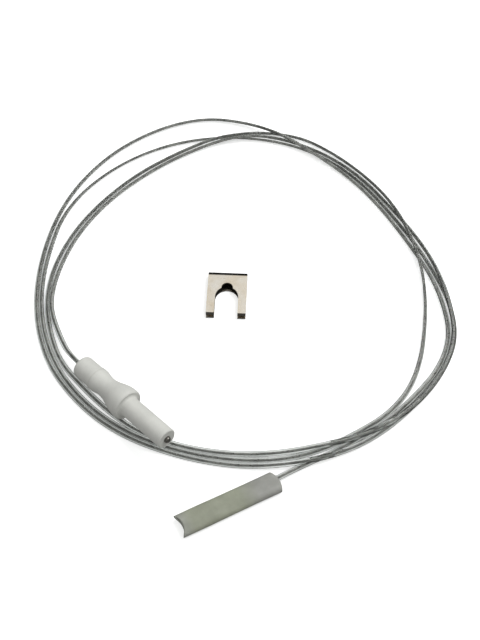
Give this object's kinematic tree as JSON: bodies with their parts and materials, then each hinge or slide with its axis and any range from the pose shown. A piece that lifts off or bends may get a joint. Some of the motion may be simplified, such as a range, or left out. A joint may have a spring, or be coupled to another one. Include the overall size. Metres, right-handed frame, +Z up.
{
  "type": "flame sensor probe",
  "caption": "Ceramic flame sensing and spark electrode for a gas burner, on a long thin coiled cable with a sleeved push-on terminal and a loose spring retaining clip.",
  "frame": {"origin": "on the ceramic's axis where the spigot leaves the fillet in front of the collar", "axes": "+X in plan along the ceramic towards the electrode's tip, whose axis rises 8.5 degrees above +X because its collar lies on the cable, +Z up from the surface that everything lies on, +Y across towards the middle of the coil"},
  "size_m": [0.1521, 0.1458, 0.0134],
  "materials": {
    "ceramic": "matt unglazed",
    "electrode_metal": "dark heat-resisting alloy",
    "ferrule_metal": "crimped tube",
    "cement": "rough potting cement",
    "tinned_wire": "tinned copper strand",
    "clear_jacket": "clear, slightly grey",
    "terminal_brass": "plain stamped",
    "sleeve_plastic": "milky translucent",
    "spring_steel": "bright rolled strip"
  },
  "bodies": {
    "electrode_and_cable": {"ceramic_insulator": "ceramic", "electrode_pin": "electrode_metal", "crimp_ferrule": "ferrule_metal", "rear_seal": "cement", "core_at_electrode": "tinned_wire", "jacket_in_ceramic": "clear_jacket", "cable_coil": "clear_jacket", "cable_lead_in": "clear_jacket", "cable_lead_out": "clear_jacket", "core_at_terminal": "tinned_wire", "terminal_receptacle": "terminal_brass"},
    "sleeve": {"terminal_sleeve": "sleeve_plastic"},
    "clip": {"retaining_clip": "spring_steel"}
  },
  "joints": [
    {"name": "sleeve_slide", "type": "slide", "parent": "electrode_and_cable", "child": "sleeve", "axis": [-0.3206, -0.9472, 0], "range_m": [-0.002, 0.02]},
    {"name": "clip_lift", "type": "slide", "parent": "electrode_and_cable", "child": "clip", "axis": [0, 0, 1], "range_m": [0, 0.04]}
  ]
}
